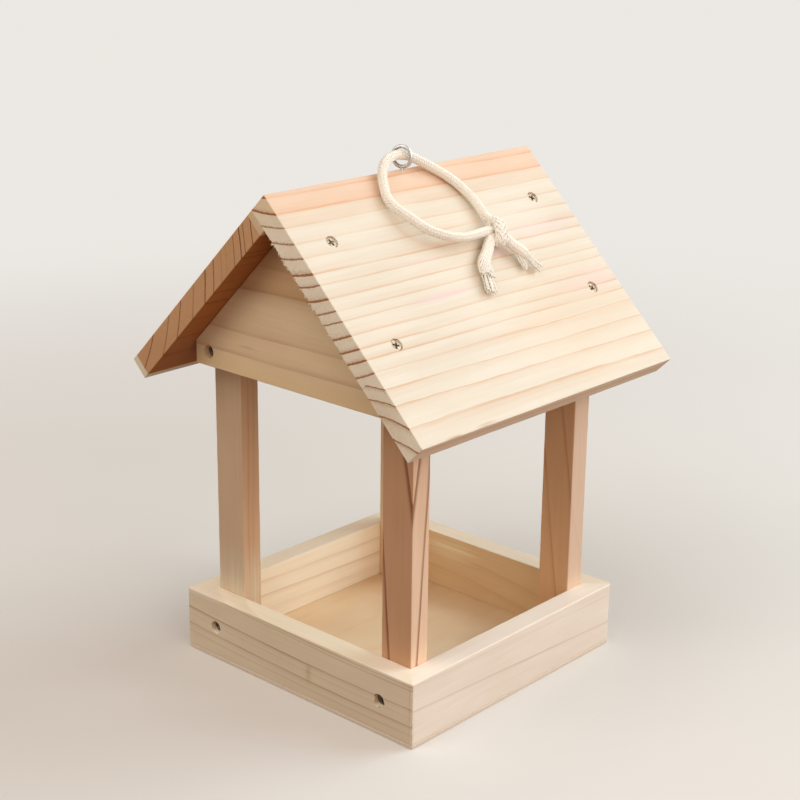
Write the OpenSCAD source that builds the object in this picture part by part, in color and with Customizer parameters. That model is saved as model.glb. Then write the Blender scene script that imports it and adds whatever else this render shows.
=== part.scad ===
// Wooden bird feeder house: a tray with four posts, two gable panels, a pitched roof of two
// boards, a screw eye in the ridge and a knotted cotton cord through the eye.
// X runs across the gables, Y along the ridge, Z up. The origin is under the tray's middle.

/* [Tray] */
// Outer width of the tray, across the gables
tray_w = 200; // [160:1:280]
// Outer depth of the tray, along the ridge
tray_d = 200; // [160:1:280]
// Height of the four frame boards
rim_h = 40.5; // [30:0.5:60]
// Thickness of the four frame boards
rim_t = 15; // [12:0.5:20]
// Thickness of the plywood floor
floor_t = 2.5; // [2:0.5:6]

/* [Posts and gables] */
// Size of a post across the gables
post_w = 24; // [18:0.5:34]
// Size of a post along the ridge
post_d = 15; // [12:0.5:20]
// Length of a post, from the floor to its square top
post_len = 214; // [150:1:280]
// Thickness of a gable panel
gable_t = 15; // [12:0.5:20]
// How far a gable panel reaches down over the tops of its posts
gable_lap = 15; // [12:0.5:30]

/* [Roof] */
// Slope of each roof board, in degrees
roof_pitch = 45; // [38:1:50]
// Thickness of the roof boards
roof_t = 15; // [12:0.5:20]
// How far the roof runs past the gables at the front and the back
gable_overhang = 20; // [5:1:40]
// How far the roof runs past the posts at the eaves, along the slope
eave_reach = 38; // [10:1:70]

/* [Screws] */
// Diameter of a screw's shank
screw_d = 4; // [3:0.5:5]
// Diameter of a screw's countersunk head
screw_head_d = 8; // [7:0.5:10]
// Depth of a roof screw's head below the roof's face
roof_sink = 0.5; // [0:0.1:2]
// Depth of a gable or tray screw's head below the board's face
side_sink = 3; // [1:0.5:4]
// Length of a roof screw in the gable's edge
roof_screw_grip = 15.5; // [10:0.5:20]
// Wood left in a post beyond a screw's tip
tip_cover = 2; // [1:0.5:5]
// Distance of the upper roof screws from the ridge, along the slope
roof_screw_top = 38.5; // [34:0.5:50]
// Distance of the lower roof screws from the gable's side, along the slope
roof_screw_low = 25; // [15:0.5:35]
// Height of a gable screw above the panel's lower edge
gable_screw_rise = 9.5; // [7:0.5:10]

/* [Eye and cord] */
// Outer diameter of the eye's ring
eye_d = 15; // [14:0.5:20]
// Diameter of the eye's wire
eye_wire_d = 2.5; // [2:0.5:3]
// Length of the eye's shank in the ridge
eye_shank_len = 16; // [10:0.5:17]
// Turn of the ring's plane from square to the ridge, in degrees
eye_turn = 17; // [0:1:20]
// Place of the eye along the ridge
eye_y = -4; // [-10:1:2]
// Diameter of the cord
cord_d = 6; // [4:0.5:6]

/* [Hidden] */
$fn = 48;

// Radial play between a screw and its hole, so that solids only meet where they seat
hole_play = 0.1;
// Play under a screw's tip
tip_play = 0.5;
// Overshoot of a cut past the face that it opens
cut = 1;
// Flat rim of a countersunk head, above its cone
head_rim = 0.4;
// Length of a screw's pointed tip
screw_point = 5;
// Width, reach and depth of the head's cross recess
cross_w = 1.2;
cross_reach = 4.6;
cross_depth = 2;

// Inner faces of the tray, which the posts stand against
post_face_x = tray_w / 2 - rim_t;
post_face_y = tray_d / 2 - rim_t;
post_mid_x = post_face_x - post_w / 2;
// A gable panel lies on the posts' faces and is as wide as they are apart outside
gable_mid_y = post_face_y + gable_t / 2;
gable_half = post_face_x;
gable_side_z = floor_t + post_len;
gable_low_z = gable_side_z - gable_lap;
gable_screw_z = gable_low_z + gable_screw_rise;
gable_top_z = gable_side_z + gable_half * tan(roof_pitch);
tray_screw_z = floor_t + rim_h / 2;

// The roof's section: the right board's end covers the left board's top edge
ridge_z = gable_top_z + roof_t / cos(roof_pitch);
roof_half_len = post_face_y + gable_t + gable_overhang;
gable_slope = gable_half / cos(roof_pitch);
ridge_step = roof_t * tan(roof_pitch);
roof_slope = ridge_step + gable_slope + eave_reach;
// Where the right board's lower face comes out through the left board's upper face
seam_run = roof_t / sin(2 * roof_pitch);
low_screw_slope = ridge_step + gable_slope - roof_screw_low;

side_screw_len = gable_t - side_sink + post_d - tip_cover;
tray_screw_len = rim_t - side_sink + post_d - tip_cover;
roof_screw_len = roof_t - roof_sink + roof_screw_grip;

// The ring rests on the ridge, and the cord passes through it a little above its middle
eye_ring_r = (eye_d - eye_wire_d) / 2;
eye_mid_z = ridge_z + eye_d / 2;
cord_sides = 10;

// Cord route from the eye to the knot, as [across, along the ridge, above the ridge]
front_run = [[0, -4, 8.5], [0, -9, 9], [0.5, -14.5, 8.5], [2.5, -21.5, 6.5], [4.5, -26, 3],
    [7, -29, -0.5], [11, -32, -5.5], [16, -35, -10.5], [20, -35.5, -14], [24.5, -34, -17.5],
    [32.5, -29.5, -23], [40, -23.5, -29], [44.5, -12.5, -33.5], [46, -4.5, -35.5],
    [46.5, 4, -36.5], [45.5, 18, -36.5], [45, 26, -36.5], [45.5, 31, -37]];
back_run = [[0, -4, 8.5], [0.5, 1, 7.5], [1.5, 4.5, 6], [3.5, 9, 3.5], [6, 15, 0], [9.5, 22, -4.5],
    [12.5, 25.5, -7.5], [16, 29, -11], [24, 33, -18.5], [30.5, 34, -24.5], [37, 34, -30.5],
    [41.5, 36.5, -33.5], [45.5, 38.5, -36.5]];
front_tail = [[47.5, 27, -40.5], [50, 21.5, -42.5], [53.5, 15, -47], [57.5, 7.5, -51.5],
    [62, 4.5, -56], [67.5, 1.5, -61.5], [72, -1, -66]];
back_tail = [[45.5, 38.5, -36.5], [49.5, 37, -41], [54, 39, -45.5], [57.5, 42, -48.5],
    [61, 45.5, -52.5], [64, 49, -57], [67, 52.5, -61]];
// Middle of the knot's wrap and its half sizes down the slope and off the roof
knot_mid = [47, 32, -37];
knot_half_down = 8;
knot_half_off = 3.7;
knot_rings = 16;

function unit(v) = v / norm(v);
// Direction of a route at one of its points
function route_dir(r, i) = unit(r[min(i + 1, len(r) - 1)] - r[max(i - 1, 0)]);
// One ring of a tube: a polygon square to the direction d, turned from the side vector of ref
function tube_ring(p, d, ref, rad, sides) =
    let (side = unit(cross(d, ref)), up = cross(side, d))
    [for (k = [0 : sides - 1])
        let (a = 360 * k / sides)
        p + rad * (cos(a) * side + sin(a) * up)];
// Triangles between ring i and ring j
function tube_band(i, j, sides) =
    [for (k = [0 : sides - 1])
        let (n = (k + 1) % sides)
        each [[i * sides + k, j * sides + k, j * sides + n],
            [i * sides + k, j * sides + n, i * sides + n]]];

// A round cord along a route, closed by a flat face at each end
module cord_tube(route, rad, sides, ref) {
    count = len(route);
    points = [for (i = [0 : count - 1]) each tube_ring(route[i], route_dir(route, i), ref, rad, sides)];
    bands = [for (i = [0 : count - 2]) each tube_band(i, i + 1, sides)];
    start = [for (k = [1 : sides - 2]) [0, k, k + 1]];
    last = (count - 1) * sides;
    end = [for (k = [1 : sides - 2]) [last, last + k + 1, last + k]];
    polyhedron(points, concat(bands, start, end));
}

// A closed turn of cord around the middle of the knot
module cord_turn(mid, half_down, half_off, rings, rad, sides) {
    down = [cos(roof_pitch), 0, -sin(roof_pitch)];
    off = [sin(roof_pitch), 0, cos(roof_pitch)];
    points = [for (i = [0 : rings - 1])
        let (a = 360 * i / rings)
        each tube_ring(mid + half_down * cos(a) * down + half_off * sin(a) * off,
            unit(half_off * cos(a) * off - half_down * sin(a) * down), [0, 1, 0], rad, sides)];
    polyhedron(points, [for (i = [0 : rings - 1]) each tube_band(i, (i + 1) % rings, sides)]);
}

// A countersunk wood screw: its head's flat top at the origin, its tip down
module wood_screw(length) {
    cone_h = (screw_head_d - screw_d) / 2;
    difference() {
        union() {
            translate([0, 0, -head_rim]) cylinder(d = screw_head_d, h = head_rim);
            translate([0, 0, -head_rim - cone_h])
                cylinder(d1 = screw_d, d2 = screw_head_d, h = cone_h);
            translate([0, 0, screw_point - length])
                cylinder(d = screw_d, h = length - screw_point - head_rim - cone_h);
            translate([0, 0, -length]) cylinder(d1 = screw_d / 5, d2 = screw_d, h = screw_point);
        }
        intersection() {
            for (turn = [0, 90])
                rotate(turn)
                    translate([-cross_reach / 2, -cross_w / 2, -cross_depth])
                        cube([cross_reach, cross_w, cross_depth + cut]);
            translate([0, 0, -cross_depth])
                cylinder(d1 = cross_w, d2 = cross_reach + cross_w, h = cross_depth + cut);
        }
    }
}

// The hole that a screw sits in, opened by sink above the head
module screw_hole(length, sink) {
    cone_h = (screw_head_d - screw_d) / 2;
    head_d = screw_head_d + 2 * hole_play;
    shank_d = screw_d + 2 * hole_play;
    translate([0, 0, -head_rim]) cylinder(d = head_d, h = head_rim + sink + cut);
    translate([0, 0, -head_rim - cone_h]) cylinder(d1 = shank_d, d2 = head_d, h = cone_h);
    translate([0, 0, -length - tip_play]) cylinder(d = shank_d, h = length + tip_play);
}

// Places what it is given at the four screws of one roof board; side is 1 right, -1 left
module at_roof_screws(side) {
    for (along = [-gable_mid_y, gable_mid_y], slope = [roof_screw_top, low_screw_slope])
        translate([0, along, ridge_z])
            rotate([0, side * roof_pitch, 0])
                translate([side * slope, 0, -roof_sink])
                    children();
}

// Places what it is given at two screws in the front, end -1, or the back, end 1
module at_side_screws(end, face_y, height) {
    for (side = [-1, 1])
        translate([side * post_mid_x, end * (face_y - side_sink), height])
            rotate([end > 0 ? -90 : 90, 0, 0])
                children();
}

// A frame board lying along X at the front: a trapezium with mitred ends
module frame_board(length) {
    translate([0, 0, floor_t])
        linear_extrude(rim_h)
            polygon([[-length / 2, 0], [length / 2, 0],
                [length / 2 - rim_t, rim_t], [-length / 2 + rim_t, rim_t]]);
}

module tray_floor() {
    color([0.82, 0.70, 0.53])
        translate([-tray_w / 2, -tray_d / 2, 0])
            cube([tray_w, tray_d, floor_t]);
}

module tray_end(end) {
    color([0.85, 0.74, 0.60])
        difference() {
            rotate(end > 0 ? 180 : 0)
                translate([0, -tray_d / 2, 0])
                    frame_board(tray_w);
            at_side_screws(end, tray_d / 2, tray_screw_z)
                screw_hole(tray_screw_len, side_sink);
        }
}

module tray_side(side) {
    color([0.93, 0.85, 0.75])
        rotate(side > 0 ? 90 : -90)
            translate([0, -tray_w / 2, 0])
                frame_board(tray_d);
}

module tray_front() { tray_end(-1); }
module tray_back() { tray_end(1); }
module tray_left() { tray_side(-1); }
module tray_right() { tray_side(1); }

// A post, with the pilot holes of the screws that come through the tray and the gable
module post(side, end) {
    color([0.72, 0.53, 0.38])
        difference() {
            translate([side > 0 ? post_face_x - post_w : -post_face_x,
                    end > 0 ? post_face_y - post_d : -post_face_y, floor_t])
                cube([post_w, post_d, post_len]);
            at_side_screws(end, tray_d / 2, tray_screw_z)
                screw_hole(tray_screw_len, side_sink);
            at_side_screws(end, post_face_y + gable_t, gable_screw_z)
                screw_hole(side_screw_len, side_sink);
        }
}

module post_front_left() { post(-1, -1); }
module post_front_right() { post(1, -1); }
module post_back_left() { post(-1, 1); }
module post_back_right() { post(1, 1); }

// A five-sided gable panel, with the holes of its own screws and of the roof's
module gable(end) {
    color([0.75, 0.61, 0.46])
        difference() {
            translate([0, end * gable_mid_y + gable_t / 2, 0])
                rotate([90, 0, 0])
                    linear_extrude(gable_t)
                        polygon([[-gable_half, gable_low_z], [gable_half, gable_low_z],
                            [gable_half, gable_side_z], [0, gable_top_z],
                            [-gable_half, gable_side_z]]);
            at_side_screws(end, post_face_y + gable_t, gable_screw_z)
                screw_hole(side_screw_len, side_sink);
            for (side = [-1, 1])
                at_roof_screws(side) screw_hole(roof_screw_len, roof_sink);
        }
}

module gable_front() { gable(-1); }
module gable_back() { gable(1); }

// A roof board from its section in X and Z
module roof_board(section) {
    translate([0, roof_half_len, ridge_z])
        rotate([90, 0, 0])
            linear_extrude(2 * roof_half_len)
                polygon(section);
}

// Points on the roof's section, from the ridge: run along the slope, then depth under the face
function slope_point(side, run, depth) =
    [side * (run * cos(roof_pitch) - depth * sin(roof_pitch)),
        -run * sin(roof_pitch) - depth * cos(roof_pitch)];

module roof_right() {
    color([0.97, 0.90, 0.79])
        difference() {
            roof_board([[0, 0], slope_point(1, roof_slope, 0), slope_point(1, roof_slope, roof_t),
                slope_point(-1, seam_run, 0)]);
            at_roof_screws(1) screw_hole(roof_screw_len, roof_sink);
            translate([0, eye_y, ridge_z - eye_shank_len - tip_play])
                cylinder(d = eye_wire_d + 2 * hole_play, h = eye_shank_len + tip_play + cut);
        }
}

module roof_left() {
    color([0.78, 0.58, 0.42])
        difference() {
            roof_board([slope_point(-1, seam_run, 0), slope_point(1, ridge_step, roof_t),
                slope_point(-1, roof_slope, roof_t), slope_point(-1, roof_slope, 0)]);
            at_roof_screws(-1) screw_hole(roof_screw_len, roof_sink);
        }
}

module roof_right_screws() {
    color("silver") at_roof_screws(1) wood_screw(roof_screw_len);
}

module roof_left_screws() {
    color("silver") at_roof_screws(-1) wood_screw(roof_screw_len);
}

module gable_screws(end) {
    color("silver")
        at_side_screws(end, post_face_y + gable_t, gable_screw_z)
            wood_screw(side_screw_len);
}

module tray_screws(end) {
    color("silver")
        at_side_screws(end, tray_d / 2, tray_screw_z)
            wood_screw(tray_screw_len);
}

module gable_front_screws() { gable_screws(-1); }
module gable_back_screws() { gable_screws(1); }
module tray_front_screws() { tray_screws(-1); }
module tray_back_screws() { tray_screws(1); }

// A ring of bent wire on a pointed shank
module screw_eye() {
    color("gainsboro")
        translate([0, eye_y, eye_mid_z]) {
            rotate(eye_turn)
                rotate([90, 0, 0])
                    rotate_extrude()
                        translate([eye_ring_r, 0])
                            circle(d = eye_wire_d);
            translate([0, 0, -eye_d / 2 - eye_shank_len + screw_point])
                cylinder(d = eye_wire_d, h = eye_shank_len - screw_point + eye_wire_d / 2);
            translate([0, 0, -eye_d / 2 - eye_shank_len])
                cylinder(d1 = eye_wire_d / 5, d2 = eye_wire_d, h = screw_point);
        }
}

// The cord lies on the right roof board, so its rings turn from the direction off that board
module cord_piece(route) {
    color([0.98, 0.93, 0.86])
        translate([0, 0, ridge_z])
            cord_tube(route, cord_d / 2, cord_sides, [1, 0, 1]);
}

module rope_front_run() { cord_piece(front_run); }
module rope_back_run() { cord_piece(back_run); }
module rope_front_tail() { cord_piece(front_tail); }
module rope_back_tail() { cord_piece(back_tail); }

module rope_knot() {
    color([0.98, 0.93, 0.86])
        translate([0, 0, ridge_z])
            cord_turn(knot_mid, knot_half_down, knot_half_off, knot_rings, cord_d / 2, cord_sides);
}

tray_floor();
tray_front();
tray_back();
tray_left();
tray_right();
post_front_left();
post_front_right();
post_back_left();
post_back_right();
gable_front();
gable_back();
roof_right();
roof_left();
roof_right_screws();
roof_left_screws();
gable_front_screws();
gable_back_screws();
tray_front_screws();
tray_back_screws();
screw_eye();
rope_front_run();
rope_back_run();
rope_knot();
rope_front_tail();
rope_back_tail();
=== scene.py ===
"""Looks of a wooden bird feeder house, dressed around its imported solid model.

X runs across the gables, Y along the ridge, Z up; the front gable faces -Y. The tables and
shapes below are in millimetres, and every Blender object is in metres.
"""
import math
import random

import bmesh
import bpy
import numpy as np
from mathutils import Matrix, Vector, noise

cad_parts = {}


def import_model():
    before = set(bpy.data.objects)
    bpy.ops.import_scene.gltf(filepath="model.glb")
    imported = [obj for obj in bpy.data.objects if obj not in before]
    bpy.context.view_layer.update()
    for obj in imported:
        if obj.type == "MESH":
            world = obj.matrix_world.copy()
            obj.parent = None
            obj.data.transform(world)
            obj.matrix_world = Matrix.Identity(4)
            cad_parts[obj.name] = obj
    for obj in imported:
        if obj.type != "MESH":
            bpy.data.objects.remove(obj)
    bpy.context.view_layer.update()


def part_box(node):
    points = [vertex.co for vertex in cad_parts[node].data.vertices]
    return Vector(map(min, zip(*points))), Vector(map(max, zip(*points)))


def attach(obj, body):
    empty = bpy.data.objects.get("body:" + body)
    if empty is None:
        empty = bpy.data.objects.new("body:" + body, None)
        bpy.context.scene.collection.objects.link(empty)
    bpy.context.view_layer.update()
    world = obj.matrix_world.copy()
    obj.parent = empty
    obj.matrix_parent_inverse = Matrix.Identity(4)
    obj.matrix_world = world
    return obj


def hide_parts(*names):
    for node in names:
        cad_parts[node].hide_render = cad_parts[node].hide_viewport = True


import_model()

MM = 0.001
HALF = math.sqrt(0.5)
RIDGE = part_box("roof_right")[1].z / MM
# Unit vectors of the right roof board: down its slope and off its face
DOWN = np.array([HALF, 0.0, -HALF])
OFF = np.array([HALF, 0.0, HALF])
X_AXIS, Y_AXIS, Z_AXIS = (1.0, 0.0, 0.0), (0.0, 1.0, 0.0), (0.0, 0.0, 1.0)

THICK = 15.0
ROOF_SLOPE = 173.208
ROOF_END = 120.0
TRAY_HALF = 100.0
TRAY_INSIDE = TRAY_HALF - THICK
FLOOR_THICK = 2.5
RIM_TOP = 43.0
POST_WIDE = 24.0
GABLE_LOW, GABLE_EAVE, GABLE_PEAK = 201.5, 216.5, 301.5


# Camera: the photograph's angle, fitted to the house's corners

AZIMUTH, ELEVATION, ROLL = (math.radians(a) for a in (42.166, 18.079, 0.641))
CAMERA_DISTANCE = 1.07611
AIM_HEIGHT, AIM_LEFT = 0.17267, 0.00222
LENS, SENSOR = 75.43, 36.0
VIEW_END = 50.0


def link(name, data):
    """A new object in the scene."""
    obj = bpy.data.objects.new(name, data)
    bpy.context.scene.collection.objects.link(obj)
    return obj


def make_camera():
    """The camera, turned about the place that it aims at and moved back from it."""
    data = bpy.data.cameras.new("camera")
    data.lens = LENS
    data.sensor_width = SENSOR
    data.clip_end = VIEW_END
    camera = link("camera", data)
    camera.matrix_world = (
        Matrix.Translation((0.0, 0.0, AIM_HEIGHT)) @ Matrix.Rotation(AZIMUTH, 4, "Z")
        @ Matrix.Translation((-AIM_LEFT, 0.0, 0.0)) @ Matrix.Rotation(math.pi / 2 - ELEVATION, 4, "X")
        @ Matrix.Translation((0.0, 0.0, CAMERA_DISTANCE)) @ Matrix.Rotation(ROLL, 4, "Z"))
    bpy.context.scene.camera = camera


# Mesh helpers

class Parts:
    """Vertices and faces of one piece, gathered from several shapes, in millimetres."""

    def __init__(self):
        self.verts = []
        self.faces = []

    def add(self, verts, faces):
        start = len(self.verts)
        self.verts.extend(tuple(v) for v in verts)
        self.faces.extend(tuple(start + i for i in face) for face in faces)

    def piece(self, name, smooth=True):
        mesh = bpy.data.meshes.new(name)
        mesh.from_pydata([(x * MM, y * MM, z * MM) for x, y, z in self.verts], [], self.faces)
        mesh.update()
        if smooth:
            mesh.shade_smooth()
        return link(name, mesh)


def bmesh_object(name, bm):
    """A new object of a bmesh, which is freed."""
    mesh = bpy.data.meshes.new(name)
    bm.to_mesh(mesh)
    bm.free()
    return link(name, mesh)


def dress(piece, body, slot, material, *nodes):
    """Gives a piece its material and its body, and hides the nodes that it stands for; the slot is not
    used.
    """
    piece.data.materials.clear()
    piece.data.materials.append(material)
    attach(piece, body)
    if nodes:
        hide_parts(*nodes)


def unit_rows(rows):
    return rows / np.linalg.norm(rows, axis=1, keepdims=True)


def smooth_path(points, step):
    """A Catmull-Rom curve through the points, resampled at an even step."""
    p = np.array(points, float)
    p = np.vstack([2 * p[0] - p[1], p, 2 * p[-1] - p[-2]])
    fine = []
    for i in range(1, len(p) - 2):
        a, b, c, d = p[i - 1], p[i], p[i + 1], p[i + 2]
        t = np.linspace(0, 1, 24, endpoint=False)[:, None]
        fine.append(0.5 * (2 * b + (c - a) * t + (2 * a - 5 * b + 4 * c - d) * t ** 2
                           + (3 * b - a - 3 * c + d) * t ** 3))
    fine = np.vstack(fine + [p[-2:-1]])
    run = np.concatenate([[0], np.cumsum(np.linalg.norm(np.diff(fine, axis=0), axis=1))])
    at = np.linspace(0, run[-1], max(2, int(round(run[-1] / step)) + 1))
    return np.column_stack([np.interp(at, run, fine[:, k]) for k in range(3)])


def path_frames(path, first_side):
    """Two turning-free cross vectors along a path."""
    side = np.array(first_side, float)
    sides = []
    tangents = unit_rows(np.gradient(path, axis=0))
    for t in tangents:
        side = side - t * side.dot(t)
        side = side / np.linalg.norm(side)
        sides.append(side)
    sides = np.array(sides)
    return sides, np.cross(tangents, sides)


def tube(centres, across, lift, profile, closed=False):
    """A tube of one profile, [(across, lift), ...], swept along its centres."""
    profile = np.array(profile, float)
    count, ring = len(centres), len(profile)
    verts = (centres[:, None, :] + across[:, None, :] * profile[None, :, :1]
             + lift[:, None, :] * profile[None, :, 1:]).reshape(-1, 3)
    faces = []
    for i in range(count if closed else count - 1):
        j = (i + 1) % count
        for k in range(ring):
            n = (k + 1) % ring
            faces.append((i * ring + k, i * ring + n, j * ring + n, j * ring + k))
    if not closed:
        faces.append(tuple(reversed(range(ring))))
        faces.append(tuple((count - 1) * ring + k for k in range(ring)))
    return verts, faces


def skin(rings, sides):
    """Faces of a closed shape over rings of vertices, from the top down."""
    faces = []
    for j in range(rings - 1):
        for k in range(sides):
            n = (k + 1) % sides
            faces.append((j * sides + n, j * sides + k, (j + 1) * sides + k, (j + 1) * sides + n))
    faces.append(tuple(range(sides)))
    faces.append(tuple(reversed(range((rings - 1) * sides, rings * sides))))
    return faces


def ellipse(wide, high, sides):
    turns = [math.tau * k / sides for k in range(sides)]
    return [(wide * math.cos(a), high * math.sin(a)) for a in turns]


# Cotton rope: a braided sleeve over a core, with a knot and two frayed tails

EYE_Y = -4.0
CORD_START_UP = 8.5
# Route from the eye to the knot and the two tails, as (across, along the ridge, above the ridge)
FRONT_RUN = [(0, EYE_Y, CORD_START_UP), (0, -9, 9), (0.5, -14.5, 8.5), (2.5, -21.5, 6.5), (4.5, -26, 3),
             (7, -29, -0.5), (11, -32, -5.5), (16, -35, -10.5), (20, -35.5, -14),
             (24.5, -34, -17.5), (32.5, -29.5, -23), (40, -23.5, -29), (44.5, -12.5, -33.5),
             (46, -4.5, -35.5), (46.5, 4, -36.5), (45.5, 18, -36.5), (45, 26, -36.5),
             (45.5, 31, -37)]
BACK_RUN = [(0, EYE_Y, CORD_START_UP), (0.5, 1, 7.5), (1.5, 4.5, 6), (3.5, 9, 3.5), (6, 15, 0),
            (9.5, 22, -4.5), (12.5, 25.5, -7.5), (16, 29, -11), (24, 33, -18.5),
            (30.5, 34, -24.5), (37, 34, -30.5), (41.5, 36.5, -33.5), (45.5, 38.5, -36.5)]
# The front strand's turn inside the knot, under the wrap
KNOT_TURN = [(47, 33.4, -38.2), (48.2, 31.6, -40.2)]
FRONT_TAIL = [(47.5, 27, -40.5), (50, 21.5, -42.5), (53.5, 15, -47), (57.5, 7.5, -51.5),
              (62, 4.5, -56), (67.5, 1.5, -61.5), (72, -1, -66)]
BACK_TAIL = [(49.5, 37, -41), (54, 39, -45.5), (57.5, 42, -48.5), (61, 45.5, -52.5),
             (64, 49, -57), (67, 52.5, -61)]
# A few yarns that part from the back tail and end short of it
BACK_STRAY = [(53.5, 38.6, -45.2), (56, 40.2, -48.2), (59.5, 40.6, -53.5), (64.8, 41.4, -60.8)]

KNOT_MID = np.array([47.6, 31.8, -37.6])
KNOT_HALF_LONG = 8.0
KNOT_HALF_OFF = 3.7
KNOT_TILT = math.radians(25)
WRAP_POINTS = 76
WRAP_WIDE, WRAP_THICK = 1.6, 0.94

BRAID_STEP = 0.55
BRAID_PITCH = 15.5
BRAID_EACH_WAY = 8
STRAND_RADIUS = 2.36
# A strand's way in and out between the others: how far, how often in a turn and how abruptly
STRAND_SWAY = 0.3
SWAYS_PER_TURN = BRAID_EACH_WAY // 2
SWAY_GAIN = 1.4
CORE_RADIUS = 2.1
CORE_SIDES = 14
# Section of a strand of two yarns lying side by side
STRAND_PROFILE = [(-0.74, 0.0), (-0.55, 0.34), (-0.28, 0.42), (0.0, 0.27), (0.28, 0.42),
                  (0.55, 0.34), (0.74, 0.0), (0.0, -0.36)]
YARN_TWIST = 5.0
YARN_WIDE, YARN_HIGH, YARN_SIDES = 1.12, 0.84, 8
# Widths and thicknesses of the braid, as shares of its own, by the distance from a tail's end
FRONT_SLEEVE = dict(left=[0, 12, 17, 23, 29.5, 37.5, 44, 50, 300],
                    wide=[1.74, 1.74, 1.68, 1.45, 1.27, 1.27, 1.25, 1.0, 1.0],
                    thick=[0.75, 0.75, 0.78, 0.85, 0.9, 0.95, 0.95, 1.0, 1.0])
BACK_SLEEVE = dict(left=[0, 10, 14, 20, 26, 36, 42, 300],
                   wide=[1.1, 1.1, 1.25, 1.35, 1.3, 1.2, 1.0, 1.0],
                   thick=[0.8, 0.8, 0.95, 1.05, 1.05, 1.05, 1.0, 1.0])
# The sleeve ends this far from a tail's end, and its yarns run on; they start this far inside it
SLEEVE_END = 12.0
YARNS_INSIDE = 8.0
FRONT_YARNS = dict(half_wide=4.1, half_thick=1.2, count=13, radius=0.58, uneven=4, seed=5, drop=0.6)
BACK_YARNS = dict(half_wide=2.4, half_thick=0.6, count=5, radius=0.9, uneven=2, seed=8, drop=0.2)
STRAY_YARNS = dict(half_wide=1.7, half_thick=0.7, count=5, radius=0.72, uneven=4, seed=11, drop=0.0)
# Strands that come loose over the front tail's flare, by the same distance
LOOSE_COUNT = 12
LOOSE_FROM, LOOSE_TO = 29.0, 12.0
LOOSE_SLIDE = -1.5
LOOSE_LIFT = 0.75
# Where the first of them lies across the flare, how far they spread, and the edge where they end
LOOSE_FIRST, LOOSE_SPREAD, LOOSE_EDGE = -0.7, 3.0, 0.92


def above_ridge(points):
    return [(x, y, z + RIDGE) for x, y, z in points]


def lying_frames(path):
    """Cross vectors of a cord on the right roof board: along the board, and off it."""
    tangents = unit_rows(np.gradient(path, axis=0))
    lifts = unit_rows(OFF - tangents * tangents.dot(OFF)[:, None])
    return np.cross(lifts, tangents), lifts


def braid(parts, path, sides, lifts, wide, thick, ragged=None):
    """A regular braid around a path, each strand over two and under two, on a core."""
    run = np.arange(len(path)) * np.linalg.norm(path[1] - path[0])
    turn = math.tau * run / BRAID_PITCH
    wide = np.broadcast_to(wide, len(path))[:, None]
    thick = np.broadcast_to(thick, len(path))[:, None]
    for hand in (1, -1):
        for i in range(BRAID_EACH_WAY):
            angle = math.tau * i / BRAID_EACH_WAY + hand * turn
            sway = np.cos(math.pi * i + hand * SWAYS_PER_TURN * turn - math.pi / 4)
            radius = (STRAND_RADIUS + hand * STRAND_SWAY * np.clip(SWAY_GAIN * sway, -1, 1))[:, None]
            level, rise = np.cos(angle)[:, None], np.sin(angle)[:, None]
            centres = path + radius * (sides * wide * level + lifts * thick * rise)
            out = unit_rows(sides * level / wide + lifts * rise / thick)
            heading = unit_rows(np.gradient(centres, axis=0))
            across = unit_rows(np.cross(out, heading)) * (wide + thick) / 2
            stop = len(path)
            if ragged:
                stop -= ragged.randint(0, 2) + int(round(2 + 2 * level[-1, 0]))
            parts.add(*tube(centres[:stop], across[:stop], out[:stop], STRAND_PROFILE))
    parts.add(*tube(path, sides * wide, lifts * thick, ellipse(CORE_RADIUS, CORE_RADIUS, CORE_SIDES)))


def yarn(parts, line, radius):
    """One two-ply yarn, whose flattened section turns along it."""
    sides, lifts = path_frames(line, (0.2, 0.9, 0.3))
    turn = (math.tau * BRAID_STEP / YARN_TWIST) * np.arange(len(line))[:, None]
    across = sides * np.cos(turn) + lifts * np.sin(turn)
    lift = lifts * np.cos(turn) - sides * np.sin(turn)
    parts.add(*tube(line, across, lift, ellipse(YARN_WIDE * radius, YARN_HIGH * radius, YARN_SIDES)))


def bundle(parts, path, half_wide, half_thick, count, radius, uneven, seed, drop):
    """Loose yarns lying side by side, which come apart and end unevenly."""
    rng = random.Random(seed)
    sides, lifts = lying_frames(path)
    t = np.linspace(0, 1, len(path))[:, None]
    for k in range(count):
        level = half_wide * ((2 * k + 1) / count - 1) + rng.uniform(-0.12, 0.12)
        rise = half_thick * (0.8 if k % 2 else -0.8) + rng.uniform(-0.15, 0.15)
        sway = rng.uniform(0.1, 0.35) * np.sin(t * rng.uniform(2, 6) + rng.uniform(0, 6))
        spread = 0.78 + 0.22 * t
        line = path + sides * (spread * level + sway) + lifts * (spread * rise + 0.5 * sway - drop * t)
        stop = len(path) - rng.randint(0, uneven)
        yarn(parts, line[:stop], radius * rng.uniform(0.86, 1.14))


def loose_strands(parts, path, left, wide, thick, seed):
    """Thick strands that slant across the top of the flare and end unevenly."""
    rng = random.Random(seed)
    sides, lifts = lying_frames(path)
    along = (LOOSE_FROM - left) / (LOOSE_FROM - LOOSE_TO)
    for k in range(LOOSE_COUNT):
        level = LOOSE_FIRST + LOOSE_SPREAD * k / (LOOSE_COUNT - 1) + LOOSE_SLIDE * along
        shown = (along > rng.uniform(0.0, 0.12)) & (along < rng.uniform(0.92, 1.1))
        shown &= abs(level) < LOOSE_EDGE
        rise = np.sqrt(np.clip(1 - level ** 2, 0, 1))
        radius = STRAND_RADIUS + LOOSE_LIFT * np.sin(np.clip(along, 0, 1) * math.pi / 2) ** 0.5
        level, rise = (radius * wide * level)[:, None], (radius * thick * rise)[:, None]
        line = path + level * sides + rise * lifts
        if shown.sum() > 4:
            yarn(parts, line[shown], rng.uniform(0.58, 0.72))


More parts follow.
